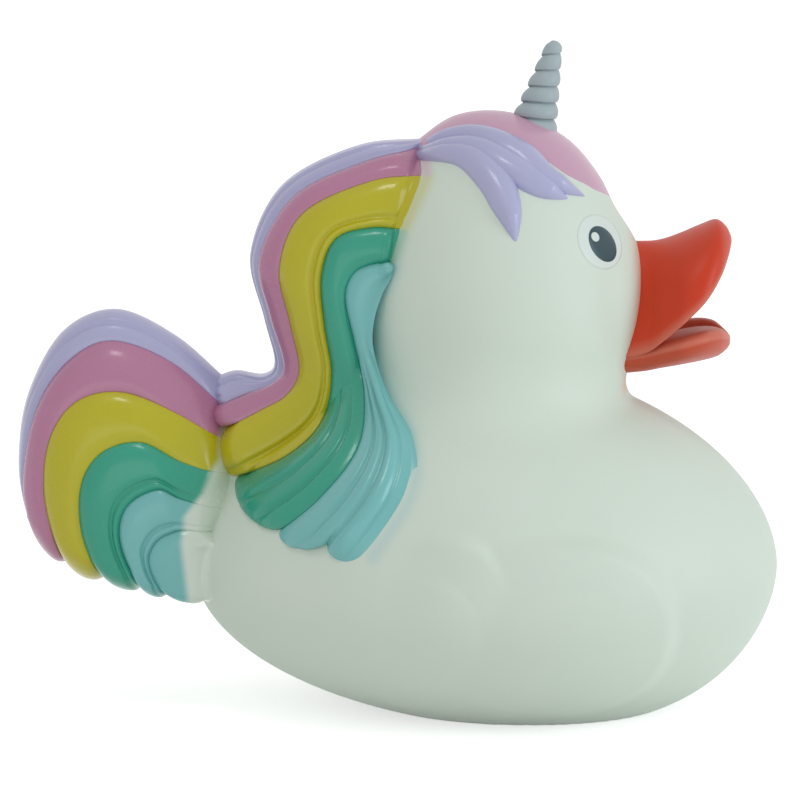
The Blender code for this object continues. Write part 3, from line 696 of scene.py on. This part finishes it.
def bill_rings(sections, shell, rows=110, arc=56, lip_count=12):
    """Outer arch, rounded lip, inner arch and lip again: z = lip + (middle - lip) * cos(angle).

    The shell is as thick as its first value, or as its second value's share of the hollow.
    """
    thickness, filled = shell
    share = np.linspace(0, 1, rows)
    reach, middle, lip, wide = (through(sections, share) * BILL_SIZE).T[:, :, None]
    angle = np.linspace(-np.pi / 2, np.pi / 2, arc)[None, :]
    solid_tip = filled + (TIP_FILLED - filled) * share[:, None] ** TIP_POWER
    thick = np.minimum(thickness, solid_tip * np.minimum(np.abs(middle - lip), wide))
    inward = np.sign(middle - lip)
    spring = lip + inward * LIP_ROUND * thick / 2
    inner = middle - inward * thick
    turn = np.linspace(0, np.pi, lip_count + 2)[1:-1][None, :]
    lip_y = wide - thick / 2 + thick / 2 * np.cos(turn)
    lip_z = spring - inward * LIP_ROUND * thick / 2 * np.sin(turn)
    y = np.concatenate([wide * np.sin(angle), lip_y, (wide - thick) * np.sin(-angle),
                        -lip_y[:, ::-1]], axis=1)
    z = np.concatenate([spring + (middle - spring) * np.cos(angle), lip_z,
                        spring + (inner - spring) * np.cos(angle), lip_z[:, ::-1]], axis=1)
    return np.stack([MOUTH_CORNER[0] + reach + 0 * y, y, MOUTH_CORNER[1] + z], axis=-1)


def painted_lip_light(rings, arc=56):
    """Painted highlight on the lips and painted light on the linings, where shade falls: 0 on the
    outer arch, 1 from its last twentieth on.
    """
    column = np.arange(rings.shape[1])
    pale = ramp(np.abs(column - (arc - 1) / 2) / arc, *LIP_LIGHT_FADE)
    pale = np.append(np.broadcast_to(pale, rings.shape[:2]).ravel(), [0.5, 0.5])
    return lambda points: np.column_stack([np.tile(LIP_LIGHT_TONE, (len(points), 1)), pale])


upper, lower = bill_rings(UPPER, UPPER_SHELL), bill_rings(LOWER, LOWER_SHELL)
# Both halves get a painted highlight on their lips and painted light on their linings.
piece_from_rings("bill_upper", upper, slot="beak_orange", tint=painted_lip_light(upper))
piece_from_rings("bill_lower", lower, slot="beak_orange", tint=painted_lip_light(lower))

# %% Throat
THROAT_HALF = np.array([3.0, 0.62 * BILL_SIZE[3], 0.45 * BILL_SIZE[1]])
THROAT_SINK = 0.2


def throat_rings(rows=50, columns=60):
    """An egg sunk in the face between the two halves: sines and cosines of a tilt and a turn."""
    middle = on_head((1.0, 0.0))[0] - [THROAT_SINK * THROAT_HALF[0], 0.0]
    tilt = np.linspace(0.05, np.pi - 0.05, rows)[:, None]
    turn = np.linspace(0, 2 * np.pi, columns, endpoint=False)[None, :]
    x = middle[0] + THROAT_HALF[0] * np.sin(tilt) * np.cos(turn)
    y = THROAT_HALF[1] * np.sin(tilt) * np.sin(turn)
    z = middle[1] + THROAT_HALF[2] * np.cos(tilt) + 0 * turn
    return np.stack([x, y, z], axis=-1)


piece_from_rings("throat", throat_rings(), slot="beak_orange")

# %% [markdown]
# ## The eyes
# Each eye is three printed ovals, one inside the other. An image could carry them, but a mesh
# keeps their edges sharp, so they are thin caps that lie on the cheek, each about a tenth of a
# millimetre above the one below.

# %% Eyes
EYE_PLACE = on_head((0.71, 0.385))[0]
PUPIL_PLACE = EYE_PLACE + [0.35, -0.3]
GLINT_PLACE = PUPIL_PLACE + [-1.15, 1.05]
EYE_TILT = np.array([-0.55, 0.84])
INK_DEPTH = 0.2
INK_POWER = 6
PRINTS = (("eye_ring", EYE_PLACE, (4.1, 3.0), 0.08, "vinyl_white"),
          ("eye_dark", PUPIL_PLACE, (2.95, 1.8), 0.18, "eye_dark"),
          ("eye_glint", GLINT_PLACE, (0.78, 0.58), 0.26, "vinyl_white"))


def oval_rings(centre, half, lift, side, rows=14, columns=64):
    """Shares of an oval laid out in the side view, lifted off the skin, and closed beneath."""
    turn = np.linspace(0, 2 * np.pi, columns, endpoint=False)[None, :]
    share = np.linspace(0.05, 1, rows)[:, None]
    long_way = EYE_TILT / np.linalg.norm(EYE_TILT)
    short_way = np.array([long_way[1], -long_way[0]])
    a, b = half[0] * share * np.cos(turn), half[1] * share * np.sin(turn)
    x = centre[0] + a * long_way[0] + b * short_way[0]
    z = centre[1] + a * long_way[1] + b * short_way[1]
    y = side * skin_half_width(x, z)
    on_skin = np.stack([x, y, z], axis=-1)
    out = skin_normal(on_skin)
    dome = lift * np.sqrt(np.clip(1 - share**INK_POWER, 0, 1))[..., None]
    return np.concatenate([on_skin + out * dome, (on_skin - out * INK_DEPTH)[::-1]])


for side, word in ((-1, "near"), (1, "far")):
    for name, place, half, lift, slot in PRINTS:
        piece_from_rings(f"{name}_{word}", oval_rings(place, half, lift, side), slot=slot)

# %% [markdown]
# ## A small language for materials
# Shader nodes are easier to read as sums. The class below wraps a socket, so that plus, minus
# and times add Math nodes, and one method makes any other node with its settings and inputs.

# %% Shader helper


class Value:
    """A socket that can be added to and multiplied."""

    def __init__(self, maker, socket):
        self.maker = maker
        self.socket = socket

    def maths(self, operation, first, second):
        return self.maker.node("ShaderNodeMath", {"operation": operation}, {0: first, 1: second})

    def __add__(self, other):
        return self.maths("ADD", self, other)

    __radd__ = __add__

    def __mul__(self, other):
        return self.maths("MULTIPLY", self, other)

    __rmul__ = __mul__

    def __sub__(self, other):
        return self.maths("SUBTRACT", self, other)

    def __rsub__(self, other):
        return self.maths("SUBTRACT", other, self)


class Graph:
    """A node tree that values can be written into."""

    def __init__(self, tree):
        self.tree = tree

    def node(self, kind, settings=None, inputs=None, output=0):
        made = self.tree.nodes.new(kind)
        for setting, value in (settings or {}).items():
            setattr(made, setting, value)
        for socket, value in (inputs or {}).items():
            self.feed(made.inputs[socket], value)
        return Value(self, made.outputs[output])

    def feed(self, socket, value):
        if isinstance(value, Value):
            self.tree.links.new(value.socket, socket)
        else:
            socket.default_value = value

    def noise(self, scale):
        place = self.node("ShaderNodeTexCoord", output="Object")
        return self.node("ShaderNodeTexNoise", inputs={"Vector": place, "Scale": scale})

    def tint(self, output):
        return self.node("ShaderNodeAttribute", {"attribute_name": "tint"}, output=output)

    def mix(self, factor, first, second):
        made = self.tree.nodes.new("ShaderNodeMix")
        made.data_type = "RGBA"
        self.feed(made.inputs[0], factor)
        self.feed(made.inputs[6], first)
        self.feed(made.inputs[7], second)
        return Value(self, made.outputs[2])

    def looked_at(self):
        """1 for rays from the camera, and for those that a mirror or a clear piece sends on."""
        rays = ("Is Camera Ray", "Is Glossy Ray", "Is Transmission Ray")
        camera, mirrored, passed = (self.node("ShaderNodeLightPath", output=ray) for ray in rays)
        return self.node("ShaderNodeMath", {"operation": "MINIMUM"},
                         {0: camera + mirrored + passed, 1: 1.0})


class Finish(Graph):
    """One material, with a Principled shader that is already there."""

    def __init__(self, name):
        self.material = bpy.data.materials.new(name)
        self.material.use_nodes = True
        super().__init__(self.material.node_tree)
        self.shader = self.tree.nodes["Principled BSDF"]

    def set(self, **inputs):
        for name, value in inputs.items():
            self.feed(self.shader.inputs[name.replace("_", " ")], value)


# %% [markdown]
# ## Vinyl and paint
# Soft vinyl is never one flat colour: the pour leaves faint clouds, and the surface has a fine
# orange-peel skin that breaks up reflections. Paint over it is glossier than bare vinyl.

# %% Finishes
CLOUD_SCALE = 90.0
SHEEN_SCALE = 400.0
SHEEN_SPREAD = 0.12
PEEL_SCALE = 1200.0
PEEL_DEPTH = 0.0003


def vinyl(name, colour, roughness, cloud=0.06, peel=0.05, gloss=0.0):
    """Two near tones mixed by a slow noise, under the mesh's tint; finer noises for the rest."""
    finish = Finish(name)
    light = (*[min(1.0, c * (1 + cloud)) for c in colour], 1.0)
    deep = (*[c * (1 - cloud) for c in colour], 1.0)
    base = finish.mix(finish.noise(CLOUD_SCALE), deep, light)
    base = finish.mix(finish.tint("Alpha"), base, finish.tint("Color"))
    finish.set(Base_Color=base)
    sheen = finish.noise(SHEEN_SCALE) * SHEEN_SPREAD + (roughness - SHEEN_SPREAD / 2)
    finish.set(Roughness=sheen, Specular_IOR_Level=0.3)
    finish.set(Coat_Weight=gloss, Coat_Roughness=0.12)
    bump = finish.node("ShaderNodeBump", inputs={"Strength": peel, "Distance": PEEL_DEPTH,
                                                 "Height": finish.noise(PEEL_SCALE)})
    finish.set(Normal=bump)
    return finish


FINISHES = {
    "skin": vinyl("skin", SKIN_TONE, 0.50, 0.02),
    "hair_lilac": vinyl("hair_lilac", (0.46, 0.46, 0.68), 0.30, gloss=0.3),
    "hair_pink": vinyl("hair_pink", (0.50, 0.21, 0.34), 0.27, gloss=0.3),
    "hair_yellow": vinyl("hair_yellow", (0.53, 0.48, 0.010), 0.26, gloss=0.3),
    "hair_green": vinyl("hair_green", (0.030, 0.36, 0.24), 0.26, gloss=0.3),
    "hair_turquoise": vinyl("hair_turquoise", (0.19, 0.52, 0.51), 0.30, gloss=0.3),
    # The crown is a lighter copy of the mane's pink: painted light where it faces up into the light.
    "crown": vinyl("crown", (0.62, 0.36, 0.49), 0.34, gloss=0.3),
    "horn_grey": vinyl("horn_grey", (0.40, 0.48, 0.50), 0.42),
    "bill_upper": vinyl("bill_upper", (0.62, 0.045, 0.010), 0.42),
    # The lower bill is a paler copy of the upper bill's orange: painted light where its top faces up
    # into the light.
    "bill_lower": vinyl("bill_lower", (0.57, 0.080, 0.035), 0.42),
    # The throat is a darker copy of the bill's orange: painted shade inside the mouth.
    "throat": vinyl("throat", (0.45, 0.06, 0.03), 0.5),
    "eye_dark": vinyl("eye_dark", (0.035, 0.075, 0.09), 0.3),
    "eye_pale": vinyl("eye_pale", (0.72, 0.80, 0.75), 0.42),
}
for name, (piece, slot) in PIECES.items():
    if name in FINISHES:
        finish = name
    elif name.startswith(("eye_ring", "eye_glint")):
        finish = "eye_pale"
    else:
        finish = slot
    piece.data.materials.append(FINISHES[finish].material)
print("finishes:", len(FINISHES), "for pieces:", len(PIECES))

# %% [markdown]
# ## Stage, light and camera
# The photograph is taken nearly level from the duck's right side with a long lens, on white.
# Paper lit brightly enough to come out white would flood the duck with light, so floor and sky
# are at full strength only for the rays that look at them.

# %% Stage
AMBIENT = 0.56
floor_mesh = bpy.data.meshes.new("floor")
span = 9.0
floor_mesh.from_pydata([(-span, -span, 0), (span, -span, 0), (span, span, 0), (-span, span, 0)],
                       [], [(0, 1, 2, 3)])
floor = bpy.data.objects.new("floor", floor_mesh)
bpy.context.scene.collection.objects.link(floor)
paper = Finish("floor_paper")
paper.set(Base_Color=(0.90, 0.90, 0.90, 1.0), Roughness=0.9)
glow = paper.mix(paper.looked_at(), (0, 0, 0, 1), (1, 1, 1, 1))
paper.set(Emission_Color=glow, Emission_Strength=0.6)
floor_mesh.materials.append(paper.material)


def area_lamp(name, place, target, size, power, colour=(1.0, 1.0, 1.0)):
    """A square lamp at a place in millimetres, turned to face its target."""
    lamp = bpy.data.lights.new(name, "AREA")
    lamp.size = size * MM
    lamp.energy = power
    lamp.color = colour
    holder = bpy.data.objects.new(name, lamp)
    holder.location = np.array(place) * MM
    way = Vector((np.array(target) - np.array(place)) * MM)
    holder.rotation_euler = way.to_track_quat("-Z", "Y").to_euler()
    bpy.context.scene.collection.objects.link(holder)


MIDDLE = (-12.0, 0.0, 45.0)
area_lamp("overhead", (-60, -260, 600), MIDDLE, 110, 0.35)
area_lamp("low", (-120, -560, 40), MIDDLE, 300, 0.25)
area_lamp("side", (640, -260, 200), MIDDLE, 320, 1.25, (0.90, 1.0, 1.06))

world = bpy.data.worlds.new("studio")
bpy.context.scene.world = world
world.use_nodes = True
sky = Graph(world.node_tree)
background = sky.tree.nodes["Background"]
background.inputs["Color"].default_value = (1, 1, 1, 1)
sky.feed(background.inputs["Strength"], sky.looked_at() * (1 - AMBIENT) + AMBIENT)
print("lamps:", len(bpy.data.lights))

# %% Camera
DISTANCE = 480.0
ELEVATION = np.radians(8.0)
LENS = 148.85
TARGET = np.array([-12.42, 0.0, 44.2])
camera_data = bpy.data.cameras.new("camera")
camera_data.lens = LENS
camera_data.sensor_width = 36.0
camera = bpy.data.objects.new("camera", camera_data)
camera.location = (TARGET + DISTANCE * np.array([0, -np.cos(ELEVATION), np.sin(ELEVATION)])) * MM
camera.rotation_euler = (np.pi / 2 - ELEVATION, 0, 0)
bpy.context.scene.collection.objects.link(camera)
bpy.context.scene.camera = camera
bpy.context.scene.view_settings.view_transform = "Standard"
print("camera at", [round(c, 3) for c in camera.location])
